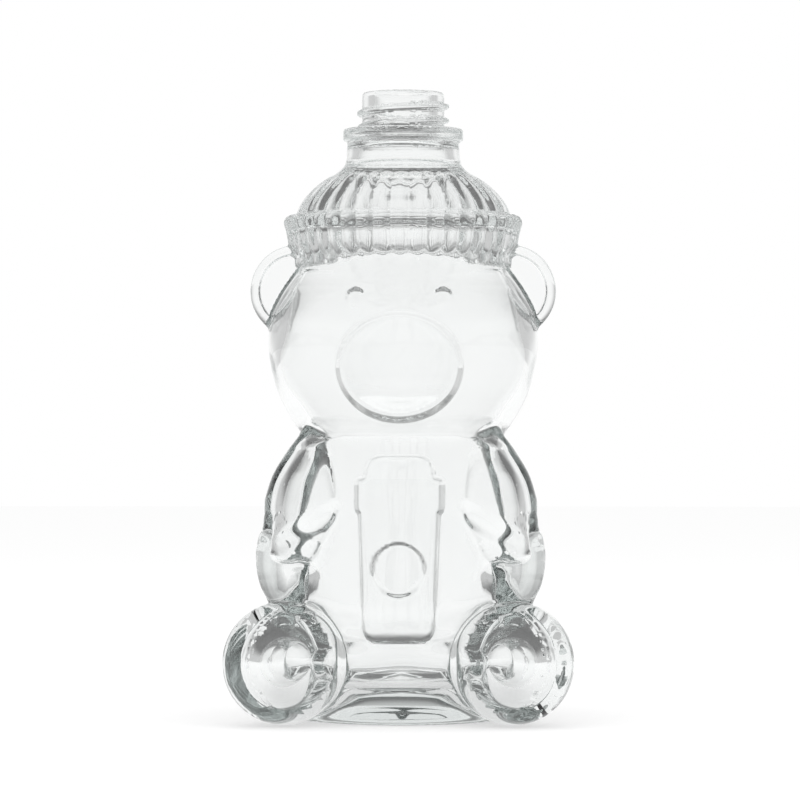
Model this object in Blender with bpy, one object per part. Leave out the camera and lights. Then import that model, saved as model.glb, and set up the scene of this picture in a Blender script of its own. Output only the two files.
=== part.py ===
"""Clear glass liquor bottle in the shape of a seated bear with a knitted hat and a takeaway cup.

Metres, +Z up. The bear faces -Y. The origin is the middle of the footprint, on the floor.
The bottle is one blown piece, so every swelling below is joined into a single body of glass.
"""

import math

import bmesh
import bpy
from mathutils import Matrix, Vector

MM = 0.001

# Levels, stacked from the floor to the lip
TORSO_HEIGHT = 78.8 * MM
HEAD_HEIGHT = 48.4 * MM
BRIM_HEIGHT = 14.0 * MM
DOME_HEIGHT = 14.2 * MM
NECK_HEIGHT = 6.8 * MM
COLLAR_HEIGHT = 3.4 * MM
FINISH_HEIGHT = 10.4 * MM

# Reach of the whole bottle from the axis of the neck
FOOT_REACH = 57.0 * MM
BACK_REACH = 39.0 * MM

# Torso and head, as egg-shaped sections about the axis of the neck
TORSO_HALF_WIDTH = 36.0 * MM
TORSO_FRONT = 41.4 * MM
HEAD_HALF_WIDTH = 38.1 * MM
HEAD_FRONT = 39.4 * MM
HEAD_BACK = 39.0 * MM
CREASE_HALF_WIDTH = 28.2 * MM
CREASE_FRONT = 31.0 * MM
CREASE_BACK = 34.0 * MM

# Glass left round the hollow: the walls at large, the turned-up brim and the floor
WALL = 3.5 * MM
BRIM_WALL = 5.5 * MM
FLOOR = 9.5 * MM
FLOOR_FILLET = 9.0 * MM

# Base: a bearing ring round a shallow push-up
BASE_HALF_WIDTH = 34.0 * MM
BASE_FRONT = 45.0 * MM
BASE_BACK = 34.5 * MM
BEARING_WIDTH = 5.0 * MM
PUSH_UP = 1.5 * MM

# Knitted hat
BRIM_RADIUS = 33.7 * MM
BRIM_RIBS = 42
DOME_RIBS = 36
BRIM_RIB_DEPTH = 1.5 * MM
DOME_RIB_DEPTH = 1.1 * MM

# Neck, collar and the plain root of the screw finish
NECK_RADIUS = 15.6 * MM
NECK_BORE_RADIUS = 12.0 * MM
COLLAR_RADIUS = 17.0 * MM
ROOT_RADIUS = 11.65 * MM
MOUTH_RADIUS = 8.1 * MM
LIP_ROUND = 0.9 * MM
COLLAR_ROUND = 0.5 * MM

# Ears, dished discs that face forward
EAR_RADIUS = 13.0 * MM
EAR_THICKNESS = 8.0 * MM
EAR_RIM = 2.7 * MM
EAR_DISH = 1.8 * MM
EAR_LEVEL = 41.0 * MM
EAR_SPREAD = 30.2 * MM

# Face
MUZZLE_HALF_WIDTH = 17.4 * MM
MUZZLE_HALF_HEIGHT = 15.3 * MM
MUZZLE_STAND = 2.4 * MM
MUZZLE_DRAFT = 2.8 * MM
MUZZLE_LEVEL = 19.2 * MM
EYE_RADIUS = 2.8 * MM
EYE_STAND = 0.9 * MM
EYE_SPREAD = 12.0 * MM
EYE_LEVEL = 37.9 * MM

# Arms: a full sleeve that narrows to the wrist, a raised cuff across it and a short paw
ARM_RADIUS = 11.6 * MM
ARM_SPREAD = 33.4 * MM
CUFF_RADIUS = 3.6 * MM
PAW_RADIUS = 4.4 * MM
PAW_REACH = 9.5 * MM

# Legs and feet, with the lap between them
FOOT_RADIUS = 16.7 * MM
FOOT_SPREAD = 31.1 * MM
FOOT_THICKNESS = 27.0 * MM
FOOT_CLEARANCE = 0.5 * MM
LEG_RADIUS = 14.4 * MM
LEG_WALL = 4.4 * MM
FOOT_HOLLOW_RADIUS = 10.6 * MM
LAP_FRONT = 46.8 * MM
LAP_HEIGHT = 33.0 * MM
BAR_RADIUS = 7.2 * MM
BAR_HOLLOW_RADIUS = 3.6 * MM
BAR_LEVEL = 16.9 * MM

# Takeaway cup on the belly
CUP_TOP_RADIUS = 11.1 * MM
CUP_BOTTOM_RADIUS = 9.8 * MM
CUP_STAND = 6.0 * MM
CUP_FOOT_STAND = 1.6 * MM
CUP_FOOT_LEVEL = 22.6 * MM
CUP_BODY_HEIGHT = 34.4 * MM
LID_HEIGHT = 10.1 * MM
LID_RADIUS = 12.3 * MM
LID_CROWN_HEIGHT = 6.1 * MM
LID_CROWN_RADIUS = 9.7 * MM
BADGE_RADIUS = 7.7 * MM
BADGE_STAND = 1.5 * MM
BADGE_LEVEL = 19.9 * MM

# How far a joined form reaches into the one that carries it, and a cutter past what it cuts
OVERRUN = 2.0 * MM

# Facets round the larger forms
TRUNK_SIDES = 44
HOLLOW_SIDES = 30
TURNED_SIDES = 36
LIMB_SIDES = 14
DISC_SIDES = 24
EYE_SIDES = 12

# Faces that meet at more than this angle keep a sharp edge between them
EDGE_ANGLE = math.radians(38)

# Levels that follow from the stack
BRIM_BOTTOM = TORSO_HEIGHT + HEAD_HEIGHT
DOME_BOTTOM = BRIM_BOTTOM + BRIM_HEIGHT
NECK_BOTTOM = DOME_BOTTOM + DOME_HEIGHT
COLLAR_BOTTOM = NECK_BOTTOM + NECK_HEIGHT
FINISH_BOTTOM = COLLAR_BOTTOM + COLLAR_HEIGHT
LIP_TOP = FINISH_BOTTOM + FINISH_HEIGHT

# The axis of the neck lies behind the middle of the footprint
AXIS_Y = (FOOT_REACH - BACK_REACH) / 2

# Rows of level, half width, front and back, each a share of its torso size
TORSO_SHARES = (
    (0.09, 1.00, 1.02, 0.97),
    (0.24, 1.02, 1.02, 0.997),
    (0.42, 0.98, 1.00, 0.997),
    (0.62, 0.92, 0.94, 0.98),
    (0.82, 0.84, 0.85, 0.92),
)
# Rows of level, half width, front and back, each a share of its head size
HEAD_SHARES = (
    (0.06, 0.810, 0.870, 0.920),
    (0.20, 0.900, 0.935, 0.955),
    (0.38, 0.975, 0.985, 0.985),
    (0.54, 1.000, 1.000, 1.000),
    (0.68, 0.985, 0.985, 0.985),
    (0.84, 0.870, 0.920, 0.925),
    (1.00, 0.725, 0.780, 0.780),
)
# Rows of level and radius, as shares of the brim's height and radius
BRIM_SHARES = (
    (0.00, 0.840),
    (0.12, 0.900),
    (0.30, 0.950),
    (0.60, 0.975),
    (0.82, 1.000),
    (1.00, 0.940),
)
# Rows of level, as a share of the dome's height, and of radius, as a share of the way in to the neck
DOME_SHARES = (
    (-0.20, 0.10),
    (0.00, 0.10),
    (0.08, 0.00),
    (0.33, 0.155),
    (0.58, 0.39),
    (0.78, 0.69),
    (0.94, 0.89),
    (1.14, 0.985),
)
# Depth of the cup from front to back, as a share of its radius
CUP_DEPTH_SHARE = 0.9
# Radius of the brim's top ledge, as a share of the brim's radius
LEDGE_SHARE = 0.898
# Height of the rib at equal steps across its pitch, as shares of the rib's depth
RIB_SHARES = (0.0, 1.0, 1.0)
# Rows down the arm: place across, forward and up, then radius, as shares of the arm's sizes
ARM_SHARES = (
    (0.66, 0.38, 0.975, 0.60),
    (0.70, 0.42, 0.910, 0.78),
    (0.75, 0.49, 0.820, 0.97),
    (0.79, 0.55, 0.730, 1.02),
    (0.87, 0.58, 0.655, 0.86),
    (0.965, 0.59, 0.585, 0.68),
    (0.965, 0.60, 0.510, 0.62),
    (0.93, 0.58, 0.445, 0.53),
)
# Rows along the cuff, from outside to inside, as shares of the arm's places and the cuff's radius
CUFF_SHARES = (
    (0.985, 0.700, 0.590, 0.80),
    (0.925, 0.735, 0.637, 0.95),
    (0.76, 0.755, 0.690, 1.00),
    (0.64, 0.748, 0.722, 0.95),
    (0.57, 0.725, 0.740, 0.75),
)
# Rows along the paw, inward from the wrist: place along its reach, forward, up, and radius
PAW_SHARES = (
    (0.00, 0.61, 0.500, 1.00),
    (0.50, 0.67, 0.495, 1.00),
    (0.85, 0.71, 0.490, 0.90),
    (1.00, 0.73, 0.488, 0.66),
    (1.07, 0.74, 0.487, 0.30),
)
# Rows along the leg: place across and forward, then radius, as shares of the leg's sizes
LEG_SHARES = (
    (0.30, 0.05, 0.60),
    (0.42, 0.25, 1.00),
    (0.60, 0.42, 1.04),
    (0.80, 0.56, 1.02),
    (1.00, 0.70, 0.96),
)
# Outline of the foot's rim: place along its thickness, then radius, as shares
FOOT_SHARES = (
    (0.00, 0.60),
    (0.08, 0.78),
    (0.22, 0.94),
    (0.42, 1.00),
    (0.62, 0.98),
    (0.80, 0.87),
    (0.93, 0.64),
    (1.00, 0.28),
)
# End of the hollow inside the foot: place forward, as a share of the foot's reach, then radius
FOOT_HOLLOW_SHARES = (
    (0.77, 1.00),
    (0.85, 0.84),
    (0.90, 0.45),
)
# Outline of the lap from the belly forward and down: place forward and level, as shares
LAP_SHARES = (
    (0.40, 1.00),
    (0.78, 1.00),
    (0.84, 0.95),
    (0.88, 0.85),
    (0.90, 0.72),
    (0.87, 0.50),
    (0.84, 0.25),
    (0.40, 0.20),
)
# Rows along half of the bar between the feet: place across, as a share of the feet's spread, then radius
BAR_SHARES = (
    (0.48, 1.00),
    (0.56, 1.14),
    (0.66, 1.50),
)
# Outline of the lid's skirt: height above the cup's body, then inset, as shares of the lid's overhang
SKIRT_SHARES = (
    (0.0, 1.0),
    (1.1, 0.35),
    (2.6, 0.0),
)
# Outline of the lid's shoulder: height below its top, then inset, as shares of the lid's overhang
SHOULDER_SHARES = (
    (2.1, 0.0),
    (0.8, 0.5),
    (0.0, 1.5),
)
# Outline of the lid's crown: height, then radius, as shares of the crown's
CROWN_SHARES = (
    (0.10, 1.00),
    (0.55, 0.96),
    (0.86, 0.83),
    (1.00, 0.62),
)


def clear_scene():
    """Remove every object that the file opened with."""
    for thing in list(bpy.data.objects):
        bpy.data.objects.remove(thing, do_unlink=True)


def mix(start, end, share):
    """Return the value that lies a share of the way from start to end."""
    return start + (end - start) * share


def smooth_rows(rows, steps):
    """Pass a Catmull-Rom curve through the rows and return it with so many steps to each span."""
    rows = [Vector(row) for row in rows]
    ends = [2 * rows[0] - rows[1]] + rows + [2 * rows[-1] - rows[-2]]
    result = []
    for before, start, end, after in zip(ends, ends[1:], ends[2:], ends[3:]):
        for step in range(steps):
            t = step / steps
            result.append(
                start
                + (end - before) * (t / 2)
                + (before * 2 - start * 5 + end * 4 - after) * (t * t / 2)
                + (start * 3 - before - end * 3 + after) * (t * t * t / 2)
            )
    return result + [rows[-1]]


def loft(name, rings):
    """Join equal rings of points into one closed body, with a flat face over each end."""
    form = bmesh.new()
    rows = [[form.verts.new(point) for point in ring] for ring in rings]
    for lower, upper in zip(rows, rows[1:]):
        for side in range(len(lower)):
            after = (side + 1) % len(lower)
            form.faces.new((lower[side], lower[after], upper[after], upper[side]))
    form.faces.new(rows[0])
    form.faces.new(rows[-1])
    return finished(name, form)


def finished(name, form):
    """Turn a form into a smooth object whose faces all point out, with its real edges kept sharp."""
    bmesh.ops.recalc_face_normals(form, faces=form.faces[:])
    mesh = bpy.data.meshes.new(name)
    form.to_mesh(mesh)
    form.free()
    mesh.shade_smooth()
    mesh.set_sharp_from_angle(angle=EDGE_ANGLE)
    thing = bpy.data.objects.new(name, mesh)
    bpy.context.scene.collection.objects.link(thing)
    return thing


def egg_ring(level, half_width, front, back, sides=TRUNK_SIDES):
    """Return an egg-shaped ring about the axis of the neck, from its reach to each side."""
    points = []
    for side in range(sides):
        turn = math.tau * side / sides
        across, along = math.sin(turn), -math.cos(turn)
        depth = front if along < 0 else back
        points.append(Vector((half_width * across, AXIS_Y + depth * along, level)))
    return points


def turned(name, outline, sides, place=Matrix()):
    """Spin an outline of radius and height about its axis and set the body in its place."""
    rings = []
    for radius, height in outline:
        turns = [math.tau * side / sides for side in range(sides)]
        rings.append([place @ Vector((radius * math.cos(t), radius * math.sin(t), height)) for t in turns])
    return loft(name, rings)


def forward(x, y, z):
    """Return a place whose axis points forward."""
    return Matrix.Translation((x, y, z)) @ Matrix.Rotation(math.radians(90), 4, "X")


def limb(name, rows, sides=LIMB_SIDES):
    """Loft circles square to a path, from rows of place and radius, with no twist along it."""
    rings = []
    turn, heading = Matrix.Identity(3).to_quaternion(), Vector((0, 0, 1))
    for index, row in enumerate(rows):
        here, radius = row.to_3d(), row[3]
        onward = rows[min(index + 1, len(rows) - 1)].to_3d() - rows[max(index - 1, 0)].to_3d()
        turn = heading.rotation_difference(onward.normalized()) @ turn
        heading = onward.normalized()
        circle = []
        for side in range(sides):
            angle = math.tau * side / sides
            circle.append(here + turn @ Vector((radius * math.cos(angle), radius * math.sin(angle), 0)))
        rings.append(circle)
    return loft(name, rings)


def trunk_rows():
    """Return the outer sections of the torso and head: level, half width, front and back."""
    base = (0.0, BASE_HALF_WIDTH, BASE_FRONT, BASE_BACK)
    heel = (
        PUSH_UP,
        mix(BASE_HALF_WIDTH, TORSO_HALF_WIDTH, 0.6),
        mix(BASE_FRONT, FOOT_REACH, 0.04),
        mix(BASE_BACK, BACK_REACH, 0.5),
    )
    torso = [
        (level * TORSO_HEIGHT, wide * TORSO_HALF_WIDTH, front * TORSO_FRONT, back * BACK_REACH)
        for level, wide, front, back in TORSO_SHARES
    ]
    crease = (TORSO_HEIGHT, CREASE_HALF_WIDTH, CREASE_FRONT, CREASE_BACK)
    head = [
        (TORSO_HEIGHT + level * HEAD_HEIGHT, wide * HEAD_HALF_WIDTH, front * HEAD_FRONT, back * HEAD_BACK)
        for level, wide, front, back in HEAD_SHARES
    ]
    lower = smooth_rows([heel, *torso, crease], 2)
    upper = smooth_rows([crease, *head], 2)
    return [Vector(base)] + lower + upper[1:]


def section_at(rows, level):
    """Return half width, front and back of the trunk at a level."""
    for lower, upper in zip(rows, rows[1:]):
        if level <= upper[0]:
            share = (level - lower[0]) / (upper[0] - lower[0])
            return [mix(lower[index], upper[index], share) for index in (1, 2, 3)]
    return list(rows[-1][1:])


def front_at(rows, level, across=0.0):
    """Return the place along Y of the trunk's front at a level and a distance to the side."""
    half_width, front, _ = section_at(rows, level)
    return AXIS_Y - front * math.sqrt(max(0.0, 1 - (across / half_width) ** 2))


def make_trunk(rows):
    """Loft the torso and head and carry them up inside the hat to the neck."""
    rings = [egg_ring(*row) for row in rows]
    inside = NECK_RADIUS - OVERRUN
    rings.append(egg_ring(NECK_BOTTOM, inside, inside, inside))
    return loft("trunk", rings)


def brim_rows():
    """Return the turned-up brim's outline: level, radius and rib depth, from its lower edge up."""
    return [
        (BRIM_BOTTOM + level * BRIM_HEIGHT, radius * BRIM_RADIUS, BRIM_RIB_DEPTH)
        for level, radius in BRIM_SHARES
    ]


def dome_rows():
    """Return the dome's outline: level, radius and rib depth, from inside the brim up to the neck."""
    rows = []
    ledge = LEDGE_SHARE * BRIM_RADIUS
    for level, inward in DOME_SHARES:
        fade = DOME_RIB_DEPTH * max(0.0, 1 - level**2)
        rows.append((DOME_BOTTOM + level * DOME_HEIGHT, mix(ledge, NECK_RADIUS, inward), fade))
    return rows


def make_ribbed(name, rows, ribs):
    """Loft rings about the axis of the neck, with one rib centred in front and the rest spaced evenly."""
    sides = ribs * len(RIB_SHARES)
    rings = []
    for level, radius, depth in rows:
        ring = []
        for side in range(sides):
            turn = math.tau * (side - len(RIB_SHARES) / 2) / sides
            reach = radius - depth * (1 - RIB_SHARES[side % len(RIB_SHARES)])
            ring.append(Vector((reach * math.sin(turn), AXIS_Y - reach * math.cos(turn), level)))
        rings.append(ring)
    return loft(name, rings)


def make_neck():
    """Turn the neck, collar and plain root of the finish, with its flat lip."""
    outline = (
        (NECK_RADIUS, NECK_BOTTOM - OVERRUN),
        (NECK_RADIUS, COLLAR_BOTTOM),
        (COLLAR_RADIUS - COLLAR_ROUND, COLLAR_BOTTOM),
        (COLLAR_RADIUS, COLLAR_BOTTOM + COLLAR_ROUND),
        (COLLAR_RADIUS, FINISH_BOTTOM - COLLAR_ROUND),
        (COLLAR_RADIUS - COLLAR_ROUND, FINISH_BOTTOM),
        (ROOT_RADIUS, FINISH_BOTTOM),
        (ROOT_RADIUS, LIP_TOP - LIP_ROUND),
        (ROOT_RADIUS - LIP_ROUND * 0.3, LIP_TOP - LIP_ROUND * 0.3),
        (ROOT_RADIUS - LIP_ROUND, LIP_TOP),
    )
    return turned("neck", outline, TURNED_SIDES, Matrix.Translation((0, AXIS_Y, 0)))


def make_ear(side):
    """Turn one ear as a round disc, dished in front inside a rounded rim."""
    half = EAR_THICKNESS / 2
    dish = EAR_RADIUS - EAR_RIM
    outline = (
        (EAR_RADIUS * 0.55, -half),
        (EAR_RADIUS - EAR_RIM / 2, -half * 0.7),
        (EAR_RADIUS, 0.0),
        (EAR_RADIUS, half * 0.4),
        (EAR_RADIUS - EAR_RIM / 4, half * 0.85),
        (EAR_RADIUS - EAR_RIM / 2, half),
        (dish, half * 0.8),
        (dish - EAR_DISH / 2, half - EAR_DISH),
    )
    place = forward(side * EAR_SPREAD, AXIS_Y, TORSO_HEIGHT + EAR_LEVEL)
    return turned(f"ear_{side:+d}", outline, DISC_SIDES, place)


def make_muzzle():
    """Loft the oval muzzle forward out of the face to a flat front."""
    level = TORSO_HEIGHT + MUZZLE_LEVEL
    face = AXIS_Y - HEAD_FRONT - MUZZLE_STAND
    stations = (
        (face + HEAD_FRONT / 3, 0.0),
        (face + MUZZLE_DRAFT / 2, 0.35 * MUZZLE_DRAFT),
        (face + MUZZLE_DRAFT / 6, 0.6 * MUZZLE_DRAFT),
        (face, MUZZLE_DRAFT),
    )
    rings = []
    for y, inset in stations:
        ring = []
        for side in range(DISC_SIDES):
            turn = math.tau * side / DISC_SIDES
            wide, tall = MUZZLE_HALF_WIDTH - inset, MUZZLE_HALF_HEIGHT - inset
            ring.append(Vector((wide * math.cos(turn), y, level + tall * math.sin(turn))))
        rings.append(ring)
    return loft("muzzle", rings)


def make_eye(rows, side):
    """Turn one eye, a stud that stands out of the curved face to a flat upright front."""
    level = TORSO_HEIGHT + EYE_LEVEL
    root = front_at(rows, level, EYE_SPREAD)
    outline = (
        (EYE_RADIUS, -OVERRUN),
        (EYE_RADIUS * 0.95, 0.0),
        (EYE_RADIUS * 0.8, EYE_STAND * 0.8),
        (EYE_RADIUS * 0.7, EYE_STAND),
    )
    return turned(f"eye_{side:+d}", outline, EYE_SIDES, forward(side * EYE_SPREAD, root, level))


def arm_rows(side, shares, size):
    """Return a path beside the belly, with its radius, from shares of the arm's sizes."""
    return [
        Vector((
            side * across * ARM_SPREAD,
            AXIS_Y - along * TORSO_FRONT,
            level * TORSO_HEIGHT,
            radius * size,
        ))
        for across, along, level, radius in shares
    ]


def paw_rows(side):
    """Return the paw's path from the wrist inward across the belly, with its radius."""
    return [
        Vector((
            side * (ARM_SPREAD - ARM_RADIUS / 3 - inward * PAW_REACH),
            AXIS_Y - along * TORSO_FRONT,
            level * TORSO_HEIGHT,
            radius * PAW_RADIUS,
        ))
        for inward, along, level, radius in PAW_SHARES
    ]


def leg_rows(side):
    """Return the leg's path from hip to ankle, with its radius."""
    level = FOOT_CLEARANCE + FOOT_RADIUS
    return [
        Vector((side * across * FOOT_SPREAD, AXIS_Y - along * FOOT_REACH, level, radius * LEG_RADIUS))
        for across, along, radius in LEG_SHARES
    ]


def make_foot(side):
    """Turn one round foot whose sole faces forward."""
    level = FOOT_CLEARANCE + FOOT_RADIUS
    outline = [(radius * FOOT_RADIUS, along * FOOT_THICKNESS) for along, radius in FOOT_SHARES]
    place = forward(side * FOOT_SPREAD, AXIS_Y - FOOT_REACH + FOOT_THICKNESS, level)
    return turned(f"foot_{side:+d}", outline, DISC_SIDES, place)


def make_lap():
    """Push the lap's outline across from one leg to the other."""
    outline = [(AXIS_Y - along * LAP_FRONT, level * LAP_HEIGHT) for along, level in LAP_SHARES]
    reach = FOOT_SPREAD - FOOT_RADIUS / 2
    return loft("lap", [[Vector((x, y, z)) for y, z in outline] for x in (-reach, reach)])


def make_bar():
    """Loft the round bar that joins the feet in front of the lap and flares into them."""
    half = [
        (across * FOOT_SPREAD, AXIS_Y - LAP_FRONT + BAR_RADIUS, BAR_LEVEL, radius * BAR_RADIUS)
        for across, radius in BAR_SHARES
    ]
    rows = [Vector((-x, y, z, radius)) for x, y, z, radius in reversed(half)] + [Vector(row) for row in half]
    return limb("bar", rows)


def cup_front(rows, rise):
    """Return the place along Y of the cup's leaning front at a height above its foot."""
    foot = AXIS_Y - LAP_FRONT - CUP_FOOT_STAND
    lid = CUP_BODY_HEIGHT + LID_HEIGHT
    return mix(foot, front_at(rows, CUP_FOOT_LEVEL + lid) - CUP_STAND, rise / lid)


def make_cup(rows):
    """Loft the cup, its lid and the lid's crown up the front of the belly."""
    edge = LID_RADIUS - CUP_TOP_RADIUS
    lid = CUP_BODY_HEIGHT + LID_HEIGHT
    stations = [
        (0.0, CUP_BOTTOM_RADIUS - edge * 2),
        (edge, CUP_BOTTOM_RADIUS - edge / 2),
        (edge * 3, CUP_BOTTOM_RADIUS),
    ]
    stations += [(CUP_BODY_HEIGHT + rise * edge, LID_RADIUS - inset * edge) for rise, inset in SKIRT_SHARES]
    stations += [(lid - drop * edge, LID_RADIUS - inset * edge) for drop, inset in SHOULDER_SHARES]
    stations += [(lid + rise * LID_CROWN_HEIGHT, share * LID_CROWN_RADIUS) for rise, share in CROWN_SHARES]
    rings = []
    for rise, radius in stations:
        front = cup_front(rows, rise) + max(0.0, rise - lid) / 3
        ring = []
        for side in range(DISC_SIDES):
            turn = math.tau * side / DISC_SIDES
            across, along = math.sin(turn), -math.cos(turn)
            grow = (abs(across) ** 3 + abs(along) ** 3) ** (-1 / 3)
            y = front + CUP_DEPTH_SHARE * radius * (1 + along * grow)
            ring.append(Vector((radius * across * grow, y, CUP_FOOT_LEVEL + rise)))
        rings.append(ring)
    return loft("cup", rings)


def make_badge(rows):
    """Turn the bare round badge, upright on the leaning cup, so that only its top stands out."""
    y = cup_front(rows, BADGE_LEVEL)
    outline = (
        (BADGE_RADIUS, -OVERRUN),
        (BADGE_RADIUS, 0.0),
        (BADGE_RADIUS - BADGE_STAND / 2, BADGE_STAND),
    )
    return turned("badge", outline, DISC_SIDES, forward(0.0, y, CUP_FOOT_LEVEL + BADGE_LEVEL))


def make_hollow(rows):
    """Loft the inside of the torso, head and hat, with its walls a named distance in."""
    rings = []
    corner = (1.0, 0.55, 0.2, 0.0)
    for step, inset in enumerate(corner):
        level = FLOOR + FLOOR_FILLET * (1 - inset) ** 1.5
        reach = [size - WALL - FLOOR_FILLET * inset for size in section_at(rows, level)]
        rings.append(egg_ring(level, *reach, HOLLOW_SIDES))
    for row in rows[::2]:
        if FLOOR + FLOOR_FILLET < row[0] < BRIM_BOTTOM - WALL:
            rings.append(egg_ring(row[0], *[size - WALL for size in row[1:]], HOLLOW_SIDES))
    hat = [(level, radius - BRIM_RIB_DEPTH - BRIM_WALL) for level, radius, _ in brim_rows()[1:-1]]
    hat += [(level, radius - BRIM_RIB_DEPTH - WALL) for level, radius, _ in dome_rows()[2:]]
    for level, inner in hat:
        if inner > NECK_BORE_RADIUS:
            rings.append(egg_ring(level - WALL / 2, inner, inner, inner, HOLLOW_SIDES))
    for level in (NECK_BOTTOM - WALL / 2, COLLAR_BOTTOM):
        rings.append(egg_ring(level, *[NECK_BORE_RADIUS] * 3, HOLLOW_SIDES))
    rings.append(egg_ring(FINISH_BOTTOM, *[MOUTH_RADIUS] * 3, HOLLOW_SIDES))
    return loft("hollow", rings)


def make_bore():
    """Turn the straight bore through the finish."""
    outline = (
        (MOUTH_RADIUS, FINISH_BOTTOM - OVERRUN),
        (MOUTH_RADIUS, LIP_TOP - LIP_ROUND),
        (MOUTH_RADIUS + LIP_ROUND, LIP_TOP),
        (MOUTH_RADIUS + LIP_ROUND + OVERRUN, LIP_TOP + OVERRUN),
    )
    return turned("bore", outline, TURNED_SIDES, Matrix.Translation((0, AXIS_Y, 0)))


def make_arm_hollow(side):
    """Loft the hollow of one sleeve, open to the belly beside it."""
    rows = arm_rows(side, ARM_SHARES[1:-2], ARM_RADIUS)
    return limb(f"arm_hollow_{side:+d}", [Vector((*row.to_3d(), row[3] - WALL)) for row in rows])


def make_leg_hollow(side):
    """Loft the hollow that runs from the belly through one leg and fills the middle of its foot."""
    rows = [Vector((*row.to_3d(), row[3] - LEG_WALL)) for row in leg_rows(side)]
    level = FOOT_CLEARANCE + FOOT_RADIUS
    for along, radius in FOOT_HOLLOW_SHARES:
        place = (side * FOOT_SPREAD, AXIS_Y - along * FOOT_REACH, level)
        rows.append(Vector((*place, radius * FOOT_HOLLOW_RADIUS)))
    return limb(f"leg_hollow_{side:+d}", rows)


def make_bar_hollow():
    """Loft the hollow that runs through the bar from foot to foot."""
    y = AXIS_Y - LAP_FRONT + BAR_RADIUS
    ends = (-FOOT_SPREAD, FOOT_SPREAD)
    return limb("bar_hollow", [Vector((x, y, BAR_LEVEL, BAR_HOLLOW_RADIUS)) for x in ends])


def make_push_up():
    """Loft the shallow recess under the base, inside the bearing ring."""
    sizes = (BASE_HALF_WIDTH, BASE_FRONT, BASE_BACK)
    inner = [size - BEARING_WIDTH for size in sizes]
    top = [size - 3 * BEARING_WIDTH for size in sizes]
    return loft("push_up", [egg_ring(-OVERRUN, *inner), egg_ring(0.0, *inner), egg_ring(PUSH_UP, *top)])


def glass_material():
    """Return the clear glass of the bottle."""
    material = bpy.data.materials.new("clear_glass")
    material.use_nodes = True
    shader = material.node_tree.nodes["Principled BSDF"]
    shader.inputs["Base Color"].default_value = (0.97, 0.98, 0.98, 1.0)
    shader.inputs["Metallic"].default_value = 0.0
    shader.inputs["Roughness"].default_value = 0.03
    shader.inputs["IOR"].default_value = 1.5
    shader.inputs["Transmission Weight"].default_value = 1.0
    return material


def gather(name, things):
    """Put guide forms in a collection of their own, kept out of the finished bottle."""
    group = bpy.data.collections.new(name)
    bpy.context.scene.collection.children.link(group)
    for thing in things:
        bpy.context.scene.collection.objects.unlink(thing)
        group.objects.link(thing)
        thing.hide_render = True
        thing.display_type = "WIRE"
    return group


def combine(body, operation, group):
    """Add or cut a whole collection of guide forms."""
    modifier = body.modifiers.new(group.name, "BOOLEAN")
    modifier.operation = operation
    modifier.operand_type = "COLLECTION"
    modifier.collection = group
    modifier.solver = "EXACT"


def build_bottle():
    """Model the bottle as one body of glass with one open mouth."""
    rows = trunk_rows()
    bottle = make_trunk(rows)
    bottle.name = "glass_bottle"
    swellings = [
        make_ribbed("brim", brim_rows(), BRIM_RIBS),
        make_ribbed("dome", dome_rows(), DOME_RIBS),
        make_neck(),
        make_lap(),
        make_bar(),
        make_muzzle(),
        make_cup(rows),
        make_badge(rows),
    ]
    hollows = [make_hollow(rows), make_bore(), make_bar_hollow(), make_push_up()]
    for side in (-1, 1):
        swellings += [make_ear(side), make_eye(rows, side), make_foot(side)]
        swellings.append(limb(f"arm_{side:+d}", smooth_rows(arm_rows(side, ARM_SHARES, ARM_RADIUS), 2)))
        swellings.append(limb(f"cuff_{side:+d}", arm_rows(side, CUFF_SHARES, CUFF_RADIUS)))
        swellings.append(limb(f"paw_{side:+d}", paw_rows(side)))
        swellings.append(limb(f"leg_{side:+d}", leg_rows(side)))
        hollows += [make_arm_hollow(side), make_leg_hollow(side)]
    combine(bottle, "UNION", gather("swellings", swellings))
    combine(bottle, "DIFFERENCE", gather("hollows", hollows))
    bottle.data.materials.append(glass_material())
    return bottle


clear_scene()
build_bottle()
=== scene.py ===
"""Looks of the clear glass bear bottle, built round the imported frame.

Metres in the frame's own axes: +Z up, the bear faces -Y, and the origin is the middle of the
footprint. Each part of the bear is a form that says how far a place lies outside or inside it.
The forms melt into each other as blown glass does, and one net of faces is laid over the result.
"""

from __future__ import annotations

import logging
import math
from dataclasses import dataclass, field
from enum import Enum
from typing import Callable, Iterable, NamedTuple, Sequence, Union

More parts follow.
